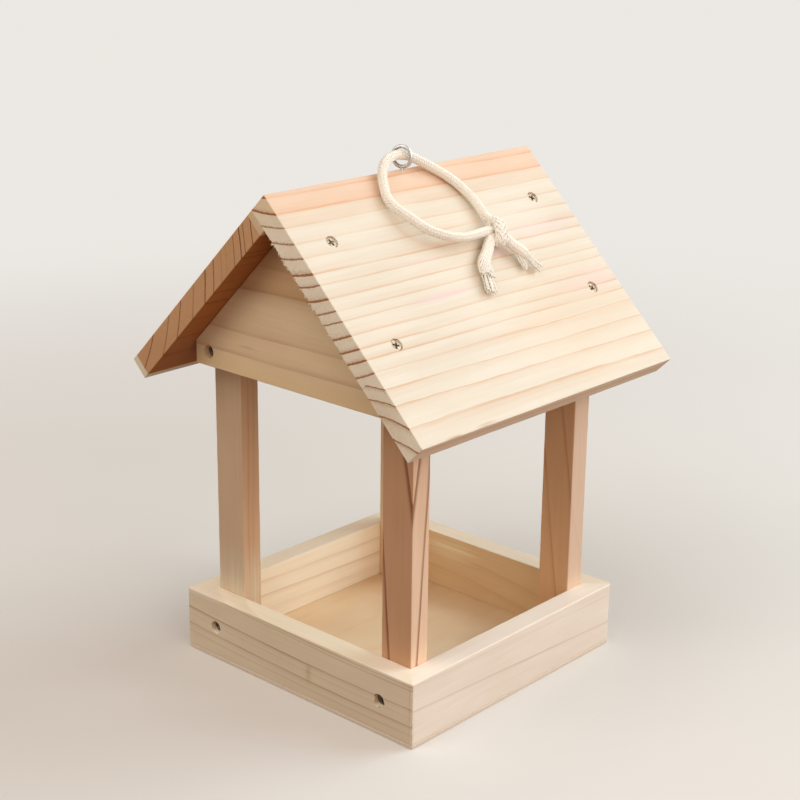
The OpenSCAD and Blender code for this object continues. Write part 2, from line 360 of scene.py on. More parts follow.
def strand_path(points):
    return smooth_path(above_ridge(points), BRAID_STEP)


def run_strand(name, path):
    """A strand that ends inside the knot: a plain sleeve."""
    parts = Parts()
    braid(parts, path, *lying_frames(path), 1.0, 1.0)
    return parts.piece(name)


def tail_strand(name, path, shape, loose, slanted=False):
    """A strand with a frayed end: a sleeve to near its end, and the yarns that run on from it."""
    step = np.linalg.norm(path[1] - path[0])
    left = step * np.arange(len(path) - 1, -1, -1)
    kept = left > SLEEVE_END
    sides, lifts = lying_frames(path)
    wide = np.interp(left, shape["left"], shape["wide"])
    thick = np.interp(left, shape["left"], shape["thick"])
    parts = Parts()
    braid(parts, path[kept], sides[kept], lifts[kept], wide[kept], thick[kept],
          random.Random(loose["seed"]))
    bundle(parts, path[left < SLEEVE_END + YARNS_INSIDE], **loose)
    if slanted:
        loose_strands(parts, path, left, wide, thick, loose["seed"])
    return parts.piece(name), path[:len(path) - loose["uneven"]]


def knot_wrap():
    """The turn of the knot that shows: a broad flat band over both strands."""
    long_way = math.cos(KNOT_TILT) * DOWN - math.sin(KNOT_TILT) * np.array([0.0, 1.0, 0.0])
    short_way = np.cross(OFF, long_way)
    angles = np.linspace(0, math.tau, WRAP_POINTS)[:, None]
    loop = (KNOT_MID + np.array([0, 0, RIDGE]) + KNOT_HALF_LONG * np.cos(angles) * long_way
            + KNOT_HALF_OFF * np.sin(angles) * OFF)
    sides, lifts = path_frames(loop, short_way)
    parts = Parts()
    braid(parts, loop, sides, lifts, WRAP_WIDE, WRAP_THICK)
    return parts.piece("rope_wrap")


def rope_pieces():
    """The knotted cord: its declared strands, the knot around them and a few stray yarns."""
    whole_front = strand_path(FRONT_RUN + KNOT_TURN + FRONT_TAIL)
    turn = np.linalg.norm(whole_front - above_ridge(KNOT_TURN[:1])[0], axis=1).argmin()
    run_path = whole_front[:turn + 1]
    run = run_strand("rope_front", run_path)
    end, end_path = tail_strand("rope_front_end", whole_front[turn:], FRONT_SLEEVE, FRONT_YARNS,
                                slanted=True)
    whole_back = strand_path(BACK_RUN + BACK_TAIL)
    back, back_path = tail_strand("rope_back", whole_back, BACK_SLEEVE, BACK_YARNS)
    parts = Parts()
    bundle(parts, strand_path(BACK_STRAY), **STRAY_YARNS)
    stray = parts.piece("rope_back_yarns")
    wrap = knot_wrap()

    cotton = cotton_material()
    for piece, *nodes in ((run, "rope_front_run"), (end, "rope_front_tail"),
                          (back, "rope_back_run", "rope_back_tail"), (wrap, "rope_knot"), (stray,)):
        dress(piece, "rope", "cotton_cord", cotton, *nodes)


# Material helpers

def srgb(red, green, blue):
    """A colour written in 0 to 255 as the linear colour that a socket takes."""
    def linear(c):
        c = c / 255
        return c / 12.92 if c <= 0.04045 else ((c + 0.055) / 1.055) ** 2.4
    return (linear(red), linear(green), linear(blue), 1.0)


class Graph:
    """Short calls for building the node tree of a material or world."""

    def __init__(self, owner, output):
        owner.use_nodes = True
        self.tree = owner.node_tree
        self.tree.nodes.clear()
        self.out = self.node(output)

    def node(self, kind, *values, **settings):
        """A new node with its settings, and its first inputs filled in order."""
        node = self.tree.nodes.new("ShaderNode" + kind)
        for key, value in settings.items():
            setattr(node, key, value)
        for socket, value in zip(node.inputs, values):
            self.put(socket, value)
        return node

    def put(self, socket, value):
        if isinstance(value, bpy.types.NodeSocket):
            self.tree.links.new(value, socket)
        else:
            socket.default_value = value

    def fill(self, node, **values):
        """Fills a node's inputs by name, with _ for each space."""
        for name, value in values.items():
            self.put(node.inputs[name.replace("_", " ")], value)

    def math(self, operation, *values):
        return self.node("Math", *values, operation=operation).outputs[0]

    def vector(self, operation, *values):
        node = self.node("VectorMath", *values, operation=operation)
        return node.outputs["Value" if operation in ("DOT_PRODUCT", "LENGTH") else "Vector"]

    def times(self, a, b):
        return self.math("MULTIPLY", a, b)

    def plus(self, a, b):
        return self.math("ADD", a, b)

    def minus(self, a, b):
        return self.math("SUBTRACT", a, b)

    def dot(self, a, b):
        return self.vector("DOT_PRODUCT", a, b)

    def combine(self, x, y, z):
        return self.node("CombineXYZ", x, y, z).outputs[0]

    def noise(self, vector, detail=2.0, roughness=0.5, scale=1.0):
        node = self.node("TexNoise", vector)
        self.fill(node, Scale=scale, Detail=detail, Roughness=roughness)
        return node.outputs["Fac"]

    def stretched(self, place, along, across, detail=2.0, roughness=0.5):
        """Noise of a board's own place, at one frequency along its grain and one across it."""
        return self.noise(self.vector("MULTIPLY", place, (along, across, across)), detail, roughness)

    def span(self, value, low, high, to_low=0.0, to_high=1.0, smooth=True):
        node = self.node("MapRange", value, low, high, to_low, to_high,
                         interpolation_type="SMOOTHSTEP" if smooth else "LINEAR")
        return node.outputs["Result"]

    def ramp(self, factor, stops, interpolation="LINEAR"):
        node = self.node("ValToRGB", factor)
        node.color_ramp.interpolation = interpolation
        elements = node.color_ramp.elements
        while len(elements) < len(stops):
            elements.new(0.5)
        for element, (place, value) in zip(elements, stops):
            element.position = place
            element.color = (value, value, value, 1.0)
        return node.outputs["Color"]

    def mix(self, factor, a, b, blend="MIX"):
        node = self.node("Mix", data_type="RGBA", blend_type=blend)
        self.put(node.inputs[0], factor)
        self.put(node.inputs[6], a)
        self.put(node.inputs[7], b)
        return node.outputs[2]

    def tint(self, factor, colour, by):
        """The colour, multiplied by another where the factor is 1."""
        return self.mix(factor, colour, by, "MULTIPLY")

    def facing(self, axis):
        """1 on faces that look along an axis, either way, and 0 on the others."""
        normal = self.node("TexCoord").outputs["Normal"]
        return self.span(self.math("ABSOLUTE", self.dot(normal, axis)), 0.55, 0.85)

    def millimetres(self):
        return self.vector("MULTIPLY", self.node("TexCoord").outputs["Object"], [1 / MM] * 3)

    def blend(self, factor, a, b):
        """Shows one shader, or another where the factor is 1."""
        self.put(self.out.inputs["Surface"], self.node("MixShader", factor, a, b).outputs[0])


class Finish(Graph):
    """The node tree of one material."""

    def __init__(self, name):
        self.material = bpy.data.materials.new(name)
        super().__init__(self.material, "OutputMaterial")
        self.shader = self.node("BsdfPrincipled")
        self.put(self.out.inputs["Surface"], self.shader.outputs["BSDF"])

    def bump(self, height, strength, distance):
        node = self.node("Bump")
        self.fill(node, Height=height, Strength=strength, Distance=distance)
        self.put(self.shader.inputs["Normal"], node.outputs["Normal"])

    def finish(self, colour, roughness, specular, **others):
        self.fill(self.shader, Base_Color=colour, Roughness=roughness,
                  Specular_IOR_Level=specular, **others)
        return self.material


def cotton_material():
    """Undyed cotton: cream yarns with a soft bloom and fine lint."""
    g = Finish("cotton")
    place = g.millimetres()
    patches = g.noise(place, detail=3, scale=0.35)
    lint = g.noise(place, detail=4, roughness=0.65, scale=3.2)
    colour = g.mix(patches, srgb(252, 244, 231), srgb(254, 249, 239))
    colour = g.mix(g.span(lint, 0.3, 0.6), srgb(248, 238, 221), colour)
    g.bump(lint, 0.4, 0.0002)
    return g.finish(colour, g.span(lint, 0.2, 0.8, 0.85, 0.98), 0.15,
                    Sheen_Weight=0.35, Sheen_Roughness=0.6)


# Pine boards

def ring_curve(g, radius, radii):
    """Years of growth at a distance from the pith: whole numbers are the years' ends."""
    low, high = radii[0], radii[-1]
    curve = g.node("FloatCurve")
    g.put(curve.inputs["Value"], g.span(radius, low, high, smooth=False))
    points = curve.mapping.curves[0].points
    places = [((r - low) / (high - low), k / (len(radii) - 1)) for k, r in enumerate(radii)]
    while len(points) < len(places):
        points.new(0.5, 0.5)
    for point, place in zip(points, places):
        point.location = place
        point.handle_type = "VECTOR"
    curve.mapping.update()
    return g.times(curve.outputs["Value"], len(radii) - 1.0)


def round_rings(g, along, u, v, stave, wobble):
    """Late wood of the rings around one pith, and the distance from the pith."""
    pith_u, pith_v = stave["pith"]
    lean_u, lean_v = stave.get("lean", (0.0, 0.0))
    du = g.minus(u, g.math("MULTIPLY_ADD", along, lean_u, pith_u))
    dv = g.minus(v, g.math("MULTIPLY_ADD", along, lean_v, pith_v))
    radius = g.plus(g.vector("LENGTH", g.combine(du, dv, 0.0)), wobble)
    years = ring_curve(g, radius, stave["radii"])
    start, middle, peak = stave["late"]
    shade = g.ramp(g.math("FRACT", years),
                   [(0.0, 0.0), (start, 0.0), (middle, 0.35), (peak, 1.0), (0.985, 0.9), (1.0, 0.0)])
    if "strengths" in stave:
        count = len(stave["strengths"])
        year = g.math("DIVIDE", g.plus(g.math("FLOOR", years), 0.5), float(count))
        shade = g.times(shade, g.ramp(
            year, [(k / count, s) for k, s in enumerate(stave["strengths"])], "CONSTANT"))
    return shade, radius


# Width of the dark line at the end of a year, and its share of the late wood's colour
RING_LINE = 1.2
LINE_SHARE = 0.58
PORE_TINT = (0.88, 0.83, 0.77, 1.0)


def flat_rings(g, local, rings, wobble, line, share):
    """Late wood of rings that are flat where they cross the board: each darkens slowly, then ends."""
    shade = 0.0
    for normal, offset, width, strength in rings:
        past = g.minus(g.plus(g.dot(local, normal), wobble), offset)
        slow = g.span(past, -width, 0.0, 0.0, 1.0 - share)
        dark = g.span(past, -line, -0.35 * line, 0.0, share)
        late = g.times(g.plus(slow, dark), g.span(past, 0.0, 0.3, strength, 0.0))
        shade = g.math("MAXIMUM", shade, late)
    return shade


def late_wood(g, board, along, u, bowed, v, wobble):
    """How far the wood is late wood, and with round rings the distance from the pith."""
    if "rings" in board:
        local = g.combine(along, bowed, v)
        line, share = board.get("line", (RING_LINE, LINE_SHARE))
        return flat_rings(g, local, board["rings"], wobble, line, share), None
    first, *others = board["staves"]
    shade, radius = round_rings(g, along, bowed, v, first, wobble)
    for stave in others:
        other, other_radius = round_rings(g, along, bowed, v, stave, wobble)
        beyond = g.math("GREATER_THAN", u, stave["from_u"])
        shade = g.mix(beyond, shade, other)
        radius = g.mix(beyond, radius, g.plus(other_radius, stave["shift"]))
    return shade, radius


def fibre_tone(g, local, fibre, streak):
    """A factor near 1 for the fibres, streaks, clouds and short dark dashes of planed wood."""
    cloud = g.stretched(local, 0.012, 0.03)
    dash = g.stretched(local, 0.14, 3.4, detail=1)
    value = g.times(g.span(fibre, 0.25, 0.75, 0.97, 1.02), g.span(streak, 0.3, 0.7, 0.983, 1.014))
    value = g.times(value, g.span(cloud, 0.3, 0.7, 0.97, 1.025))
    value = g.times(value, g.span(dash, 0.68, 0.82, 1.0, 0.93))
    return g.combine(value, g.math("POWER", value, 1.25), g.math("POWER", value, 1.6))


def pine(name, board):
    """Solid pine: growth rings cross the board, so lines on a face meet bands on an end."""
    g = Finish(name)
    place = g.vector("SUBTRACT", g.millimetres(), board["origin"])
    along, u, v = (g.dot(place, axis) for axis in board["axes"])
    local = g.combine(along, u, v)
    bowed = u
    if "bow" in board:
        centre, bend = board["bow"]
        off = g.minus(along, centre)
        bowed = g.minus(u, g.times(g.times(off, off), bend))
    slow = g.stretched(local, 0.011, 0.03, detail=1.5)
    fine = g.stretched(local, 0.05, 0.5)
    wobble = g.plus(g.times(g.minus(slow, 0.5), board.get("wave", 3.0)),
                    g.times(g.minus(fine, 0.5), board.get("ripple", 0.6)))
    shade, radius = late_wood(g, board, along, u, bowed, v, wobble)

    worn = g.stretched(local, 0.014, 0.07, detail=1.0)
    lines = g.times(shade, g.span(worn, 0.3, 0.62, board.get("faintest", 0.55), 1.0))
    for axis, amount in board.get("quiet", []):
        lines = g.times(lines, g.span(g.facing(axis), 0.0, 1.0, 1.0, amount, smooth=False))
    early, late = (srgb(*colour) for colour in board["face"])
    face = g.mix(g.times(lines, board.get("face_lines", 0.7)), early, late)
    early, late = (srgb(*colour) for colour in board["end"])
    pores = g.noise(place, detail=2, roughness=0.6, scale=1.3)
    bands = g.plus(shade, g.span(pores, 0.3, 0.7, -0.1, 0.1))
    cut = g.mix(g.span(bands, *board.get("end_span", (0.15, 0.85))), early, late)
    cut = g.tint(g.span(pores, 0.5, 0.72, 0.0, 0.6), cut, PORE_TINT)
    for edge, soft, face_tint, end_tint in board.get("heart", []):
        inside = g.span(radius, edge + soft, edge - soft)
        face = g.tint(inside, face, face_tint)
        cut = g.tint(inside, cut, end_tint)
    for low, high, tint in board.get("bands", []):
        face = g.tint(g.span(g.plus(bowed, wobble), low, high), face, tint)
    # Tints by the way a face looks; those on the tray rims' tops are painted light
    for axis, tint in board.get("sides", []):
        face = g.tint(g.facing(axis), face, tint)
    # Painted shade: faces this deep in the board, such as a roof board's underside, are darkened by a
    # tint
    for low, high, tint in board.get("painted_depth_shade", []):
        face = g.tint(g.span(v, low, high), face, tint)

    fibre = g.stretched(local, 0.035, 2.6, detail=3, roughness=0.6)
    streak = g.stretched(local, 0.012, 0.45)
    tone = fibre_tone(g, local, fibre, streak)
    colour = g.tint(1.0, g.mix(g.facing(board["axes"][0]), face, cut), tone)
    # Marks near a spot: real stains, and painted light on the tray rims' tops and at a post's foot
    for spot, half, mark_colour, amount in board.get("stains_and_painted_light", []):
        gap = g.vector("LENGTH", g.vector("DIVIDE", g.vector("SUBTRACT", local, spot), half))
        near = g.times(g.span(gap, 1.0, 0.1), g.span(streak, 0.25, 0.7, 0.25, 1.0))
        colour = g.mix(g.times(near, amount), colour, srgb(*mark_colour))
    for low, high, other in board.get("zones", []):
        beyond = g.span(g.plus(u, g.times(fine, 0.6)), low, high)
        colour = g.mix(beyond, colour, g.tint(1.0, srgb(*other), tone))
    g.bump(g.plus(g.times(fibre, 0.7), g.times(shade, 0.3)), 0.2, 0.0003)
    return g.finish(colour, g.span(fibre, 0.2, 0.8, 0.52, 0.72), board.get("specular", 0.3))


def plywood(name):
    """Thin plywood: a softly clouded face, and an edge of three plies."""
    g = Finish(name)
    place = g.millimetres()
    turned = g.combine(g.dot(place, Y_AXIS), g.dot(place, X_AXIS), 0.0)
    cloud = g.stretched(turned, 0.014, 0.022, detail=3, roughness=0.55)
    flow = g.stretched(turned, 0.008, 0.09, detail=2)
    fibre = g.stretched(turned, 0.05, 2.2, detail=3)
    # Painted light and shade: the face is darker towards -X and full colour towards +X, evening out the
    # light that reaches the tray's floor
    pale = g.span(g.dot(place, X_AXIS), -40.0, 40.0)
    face = g.mix(g.span(cloud, 0.3, 0.7), srgb(249, 224, 188), srgb(253, 234, 202))
    face = g.mix(pale, g.tint(1.0, face, (0.92, 0.86, 0.8, 1.0)), face)
    face = g.tint(g.span(flow, 0.5, 0.72, 0.0, 0.3), face, srgb(246, 232, 214))
    face = g.tint(g.span(fibre, 0.45, 0.8, 0.0, 0.6), face, srgb(249, 243, 234))
    up = g.dot(place, Z_AXIS)
    inner_ply = g.times(g.span(up, 0.75, 0.9), g.span(up, 1.7, 1.55))
    edge = g.mix(g.times(inner_ply, 0.5), srgb(241, 226, 208), srgb(226, 205, 180))
    edge = g.tint(g.span(g.noise(place, detail=3, scale=0.8), 0.45, 0.75), edge, srgb(247, 240, 232))
    g.bump(fibre, 0.15, 0.0002)
    reach = g.vector("ABSOLUTE", place)
    widest = g.math("MAXIMUM", g.dot(reach, X_AXIS), g.dot(reach, Y_AXIS))
    colour = g.mix(g.span(widest, TRAY_HALF - 2.0, TRAY_HALF - 1.5), face, edge)
    return g.finish(colour, g.span(fibre, 0.2, 0.8, 0.5, 0.66), 0.3)


SLOPE_R = tuple(DOWN)
DEPTH_R = tuple(-OFF)
SLOPE_L = (-HALF, 0.0, -HALF)
DEPTH_L = (HALF, 0.0, -HALF)
# How a board lies: along its grain, across it and through it
ALONG_X = (X_AXIS, Z_AXIS, Y_AXIS)
ALONG_Y = (Y_AXIS, Z_AXIS, X_AXIS)
UPRIGHT = (Z_AXIS, X_AXIS, Y_AXIS)


def ring_radii(pith, places):
    """Distances from the pith of the years' ends, from where each meets the board's section."""
    return sorted(math.dist(pith, place) for place in places)


# Where the years' ends meet the roof boards' outer faces, down the slope from the ridge
ROOF_PITH = (-67.6, -66.4)
ROOF_LINES = (-8, 3.4, 15, 24.7, 35.9, 45.9, 56.8, 64.1, 73.3, 81.7, 88.6, 98.4, 107.3, 114.5,
              123.3, 131, 139)
ROOF_STRENGTHS = (0.8, 0.8, 0.55, 0.55, 0.6, 0.95, 0.8, 0.85, 0.65, 0.65, 0.75, 0.9, 1.0, 0.65,
                  0.6, 0.6)
STAVE_PITH = (209.0, 76.2)
STAVE_LINES = ((108, 0), (121.5, 0), (133.4, 0), (144.7, 0), (158.4, 0), (173.2, 3.4), (173.2, 14))
LEFT_PITH = (215.0, -135.0)
LEFT_LINES = (190, 172, 144.5, 121.6, 105.7, 88, 72.9, 62.7, 53.7, 47.7, 44.3, 38.7, 30.5, 26.2,
              17.5, -4)
LEFT_STRENGTHS = (0.5, 0.8, 0.7, 0.85, 0.65, 0.95, 0.95, 0.6, 0.6, 0.5, 1.0, 1.6, 1.5, 1.0, 0.5)

# Colours in 0 to 255
PINK = (238, 198, 208)
TORN_BROWN = (186, 136, 88)
# Painted light: the colour of two pale patches on the front rim's top
PAINTED_RIM_LIGHT = (253, 240, 226)
PALE_END = ((222, 200, 170), (160, 118, 84))
TAN_END = ((214, 182, 146), (150, 104, 72))

GABLE = dict(axes=ALONG_X, slot="pine_gable", end=TAN_END)
TRAY_ACROSS = dict(axes=ALONG_X, slot="pine_frame", end=PALE_END)
TRAY_ALONG = dict(axes=ALONG_Y, slot="pine_frame", end=PALE_END)
POST = dict(axes=UPRIGHT, slot="pine_post", end=TAN_END)

BOARDS = {}
BOARDS["roof_right"] = dict(
    axes=(Y_AXIS, SLOPE_R, DEPTH_R), origin=(0, -120, RIDGE), slot="pine_roof",
    staves=[dict(pith=ROOF_PITH, lean=(0.01, 0), strengths=ROOF_STRENGTHS, late=(0.3, 0.82, 0.91),
                 radii=ring_radii(ROOF_PITH, [(s, 0) for s in ROOF_LINES])),
            dict(pith=STAVE_PITH, lean=(0.018, 0), radii=ring_radii(STAVE_PITH, STAVE_LINES),
                 late=(0.45, 0.88, 0.96), from_u=123.8, shift=200)],
    face=((232, 221, 203), (214, 162, 114)), face_lines=0.66, faintest=0.45,
    end=((249, 237, 214), (174, 118, 74)), end_span=(0.08, 0.7),
    sides=[(SLOPE_R, (1.13, 0.99, 0.9, 1))],
    heart=[(106.2, 1, (1.05, 0.92, 0.86, 1), (0.97, 0.88, 0.8, 1)),
           (113.5, 3.5, (0.99, 0.92, 0.87, 1), (0.98, 0.95, 0.9, 1))],
    stains_and_painted_light=[((82, 89, 0), (40, 3.4, 9), PINK, 0.75), ((88, 64, 0), (26, 1.8, 9), PINK, 0.5),
            ((150, 69, 0), (18, 6, 9), PINK, 0.6), ((205, 60, 0), (50, 10, 9), PINK, 0.3),
            ((214, 104, 0), (44, 13, 9), PINK, 0.4), ((222, 108, 0), (10, 3, 9), PINK, 0.5),
            ((190, 125, 0), (110, 60, 9), (235, 206, 172), 0.4),
            ((56, 171.8, 0), (13, 1.5, 2), TORN_BROWN, 0.7),
            ((27, 172.4, 0), (10, 1, 2), TORN_BROWN, 0.7), ((20, 161, 0), (16, 1.6, 2), TORN_BROWN, 0.3),
            ((0, 148, 11), (5, 36, 11), (205, 176, 144), 0.35)],
    wave=2.2, ripple=0.9)
BOARDS["roof_left"] = dict(
    axes=(Y_AXIS, SLOPE_L, DEPTH_L), origin=(0, 0, RIDGE), slot="pine_heart",
    staves=[dict(pith=LEFT_PITH, radii=ring_radii(LEFT_PITH, [(s, 1) for s in LEFT_LINES]),
                 strengths=LEFT_STRENGTHS, late=(0.72, 0.86, 0.95))],
    face=((228, 182, 138), (184, 124, 80)), face_lines=0.5,
    # Painted shade: the underside is darkened and reddened
    painted_depth_shade=[(9, 12, (0.54, 0.335, 0.19, 1))],
    end=((209, 163, 122), (128, 76, 43)), end_span=(0.25, 1),
    zones=[(168.2, 168.8, (238, 224, 198)), (20.2, 19.4, (221, 194, 158))],
    specular=0.05, wave=2, ripple=0.5)
BOARDS["gable_front"] = dict(
    GABLE, origin=(0, -100, 201.5),
    rings=[((0.02, -1, 0.1), -56.5, 9, 0.9), ((0.01, -1, 0.1), -27.8, 11, 0.55),
           ((0.012, -1, 0.1), -13.2, 7, 0.5), ((0, -1, 0.1), -72, 9, 0.3),
           ((-0.02, 1, -0.1), 56.5, 13, 0.5)],
    face=((239, 212, 173), (174, 114, 66)), face_lines=0.66, faintest=0.5, line=(3, 0.4),
    # The upper band is darker and redder: partly the wood's redder heart, partly painted shade under the
    # roof
    bands=[(55, 60, (0.86, 0.73, 0.62, 1)), (11, 6, (1, 0.99, 0.91, 1))],
    stains_and_painted_light=[((-37, 19.3, 0), (12, 1.3, 9), (176, 122, 82), 0.7)], wave=3)
BOARDS["gable_back"] = dict(
    GABLE, origin=(0, 85, 201.5),
    rings=[((0.03, 1, 0.1), 20, 6, 0.6), ((0.02, 1, 0.1), 41, 6, 0.8),
           ((0.03, 1, 0.1), 66, 7, 0.7)],
    face=((242, 219, 186), (184, 130, 88)), face_lines=0.6, faintest=0.45, wave=5)
BOARDS["tray_front"] = dict(
    TRAY_ACROSS, origin=(0, -100, 0), bow=(45, 0.00022),
    rings=[((0, 1, 0.25), 26, 4, 1), ((0, 1, 0.25), 14.5, 4, 0.85),
           ((0.008, 1, 0.1), 41.4, 1.6, 0.7), ((0.012, 1, 0.1), 39.4, 1.4, 0.5),
           ((0, 1, 0.2), 9, 3, 0.3), ((0.004, 1, 0.2), 21, 3, 0.25)],
    face=((237, 219, 191), (164, 112, 58)), face_lines=0.62,
    stains_and_painted_light=[((13, 20, 0), (4, 11, 3), (190, 146, 104), 0.45),
            ((98, 28, 0), (1.4, 26, 3), TORN_BROWN, 0.25),
            # Painted light: the two pale patches on the rim's top
            ((-92, 43, 7), (48, 5, 20), PAINTED_RIM_LIGHT, 0.7), ((78, 43, 7), (32, 5, 20), PAINTED_RIM_LIGHT, 0.8)],
    # Painted light: the top face is tinted lighter and cooler
    sides=[(Z_AXIS, (1.14, 1.2, 1.24, 1))], quiet=[(Z_AXIS, 0.4)], wave=1.2, ripple=0.4)
BOARDS["tray_back"] = dict(
    TRAY_ACROSS, origin=(0, 85, 0), bow=(-20, -0.0008),
    rings=[((0.05, 1, 0.3), 30, 9, 0.6), ((0.08, 1, 0.3), 15, 8, 0.5)],
    face=((230, 200, 158), (200, 146, 92)), face_lines=0.5,
    # Painted light: the first mark brightens the rim's top at its right end
    stains_and_painted_light=[((90, 43, 7), (36, 9, 20), (248, 232, 210), 0.9),
            ((-30, 34, 0), (35, 12, 6), (255, 248, 215), 0.7)],
    # Painted light: the rim's top is tinted much lighter and cooler
    sides=[(Z_AXIS, (1.22, 1.45, 1.9, 1))], quiet=[(Z_AXIS, 0.2)], wave=5, line=(3, 0.3))
BOARDS["tray_left"] = dict(
    TRAY_ALONG, origin=(-100, 0, 0),
    rings=[((0.02, 1, -0.2), 31, 6, 0.6), ((0.03, 1, -0.2), 20, 6, 0.7),
           ((0.02, 1, -0.2), 9, 6, 0.6)],
    face=((250, 237, 213), (204, 158, 112)), face_lines=0.5, faintest=0.3, line=(2.4, 0.4),
    # Painted light: the rim's top gets a slight warm tint
    sides=[(Z_AXIS, (1.02, 1, 0.99, 1))], quiet=[(Z_AXIS, 0.3)], wave=2)
BOARDS["tray_right"] = dict(
    TRAY_ALONG, origin=(100, 0, 0),
    rings=[((0.0475, 1, 0.2), 20.8, 2.4, 0.75), ((0.03, 1, 0.2), 38.5, 2, 0.25)],
    face=((251, 238, 222), (205, 158, 114)), face_lines=0.6,
    # Painted light: the rim's top is tinted lighter
    sides=[(Z_AXIS, (1.06, 1.07, 1.09, 1))], quiet=[(Z_AXIS, 0.3)], wave=1)
BOARDS["post_front_left"] = dict(
    POST, origin=(-85, -85, 0),
    rings=[((-0.012, 0, 1), 4.2, 3, 0.8), ((-0.02, 0.05, 1), 9, 5, 0.6)],
    face=((214, 184, 152), (162, 104, 64)), face_lines=0.45, faintest=0.4,
    # Painted light: the post is paler towards its foot, where light from the tray falls on it
    stains_and_painted_light=[((43, 12, 7), (45, 60, 60), (225, 215, 190), 0.8)],
    sides=[(X_AXIS, (1.04, 0.94, 0.87, 1))], wave=2, ripple=0.8)
BOARDS["post_front_right"] = dict(
    POST, origin=(0, 0, 0),
    rings=[((0.075, 1, 1), -13.8, 4, 1), ((-0.0693, 0, 1), -82, 3, 0.9),
           ((0.1301, 0.6624, -0.7377), 137.95, 3, 0.9)],
    face=((239, 205, 175), (140, 72, 4)), face_lines=0.85, faintest=0.75,
    sides=[(Y_AXIS, (0.68, 0.545, 0.43, 1))], wave=1.6, ripple=0.4, line=(2.2, 0.62))
BOARDS["post_back_left"] = dict(
    POST, origin=(-85, 70, 0),
    rings=[((0.04, 1, 0.4), 9, 3, 0.6), ((0.05, 1, 0.4), 19, 3, 0.6)],
    face=((232, 202, 166), (182, 128, 88)), face_lines=0.55, wave=3)
BOARDS["post_back_right"] = dict(
    POST, origin=(0, 0, 0),
    rings=[((0.16, 1, 0.5), 137.4, 4, 0.6), ((0.14, 1, 0.5), 116.4, 5, 0.6)],
    face=((228, 198, 172), (150, 86, 30)), face_lines=0.55,
    sides=[(Y_AXIS, (0.95, 0.8, 0.61, 1))], quiet=[(X_AXIS, 0.15)], wave=2.5, line=(1.8, 0.5))


# Board shapes

def prism(polygon, axis, low, high):
    """A plain prism of a convex polygon, in millimetres, as a bmesh, and its outward planes."""
    def place(a, b, t):
        return Vector((a, b, t)) if axis == "Z" else Vector((a, t, b))
    bm = bmesh.new()
    ends = [[bm.verts.new(place(a, b, t)) for a, b in polygon] for t in (low, high)]
    count = len(polygon)
    bm.faces.new(ends[0])
    bm.faces.new(list(reversed(ends[1])))
    for k in range(count):
        n = (k + 1) % count
        bm.faces.new((ends[0][n], ends[0][k], ends[1][k], ends[1][n]))
    bmesh.ops.recalc_face_normals(bm, faces=bm.faces[:])
    planes = [(f.normal.copy(), f.calc_center_median()) for f in bm.faces]
    return bm, planes


def cut_plane(bm, place, normal):
    bmesh.ops.bisect_plane(bm, geom=bm.verts[:] + bm.edges[:] + bm.faces[:], dist=1e-4,
                           plane_co=place, plane_no=normal)


def is_mitre(normal):
    """Mitre faces are the only ones that look along both X and Y."""
    return abs(normal.x) > 0.5 and abs(normal.y) > 0.5


# How far wear reaches from an arris, its grain, and the grain and mean roughness of a chip
WEAR_REACH = 1.4
WEAR_GRAIN = 9.0
CHIP_GRAIN = 1.6
CHIP_MEAN = 0.45


def wear(bm, planes, depth, seed, chips):
    """Moves the board's arrises in unevenly, and breaks small chips out of them."""
    mitres = [p for p in planes if is_mitre(p[0])]
    free = [p for p in planes if not is_mitre(p[0])]
    for vert in bm.verts:
        gaps = sorted((-(vert.co - centre).dot(normal), k) for k, (normal, centre) in enumerate(free))
        (_, nearest), (gap, second) = gaps[:2]
        if gap > WEAR_REACH:
            continue
        inward = -(free[nearest][0] + free[second][0]).normalized()
        weight = (1 - max(0.0, gap) / WEAR_REACH) ** 2
        amount = depth * (0.5 + 0.5 * noise.noise(vert.co / WEAR_GRAIN + Vector((seed, seed, seed))))
        for place, size, bite in chips:
            near = max(0.0, 1 - ((vert.co - Vector(place)).length / size) ** 2)
            rough = noise.noise(vert.co / CHIP_GRAIN + Vector((seed, 7, 3)))
            amount += bite * near * max(0.0, CHIP_MEAN + rough)
        move = inward * amount * weight
        for normal, centre in mitres:
            if abs((vert.co - centre).dot(normal)) < 0.01:
                move -= normal * move.dot(normal)
        vert.co += move


def lathe(profile, sides, ragged=None, rng=None):
    """A closed turned shape, its profile [(radius, height), ...] from the top down."""
    verts = []
    for j, (radius, height) in enumerate(profile):
        for k in range(sides):
            r = radius
            if ragged and ragged[j]:
                r += ragged[j] * rng.uniform(-0.35, 1.0)
            a = math.tau * k / sides
            verts.append((r * math.cos(a), r * math.sin(a), height))
    return verts, skin(len(profile), sides)


# Screws: where each head's top lies and which way it faces

SCREW_HEAD_D = 8.0
SCREW_SHANK_D = 4.0
ROOF_SINK = 0.5
SIDE_SINK = 3.0
SIDE_SCREW_X = 73.0
TRAY_SCREW_Z = 22.75
GABLE_SCREW_Z = 211.0
ROOF_SCREW_Y = 92.5
ROOF_SCREW_RUNS = (38.5, 110.208)
ROOF_SCREW_LONG = 30.0
SIDE_SCREW_LONG = 25.0
HOLE_PLAY = 0.1
HOLE_SIDES = 36
# How far the mouth of a deep hole is torn: the worst one, and the others
TORN_MOUTH, FRAYED_MOUTH = 0.7, 0.25


def roof_screw_frames(side):
    frames = []
    for y in (-ROOF_SCREW_Y, ROOF_SCREW_Y):
        for slope in ROOF_SCREW_RUNS:
            out = Vector((side * HALF, 0.0, HALF))
            place = Vector((side * slope * HALF, y, RIDGE - slope * HALF)) - ROOF_SINK * out
            frames.append((place, out))
    return frames


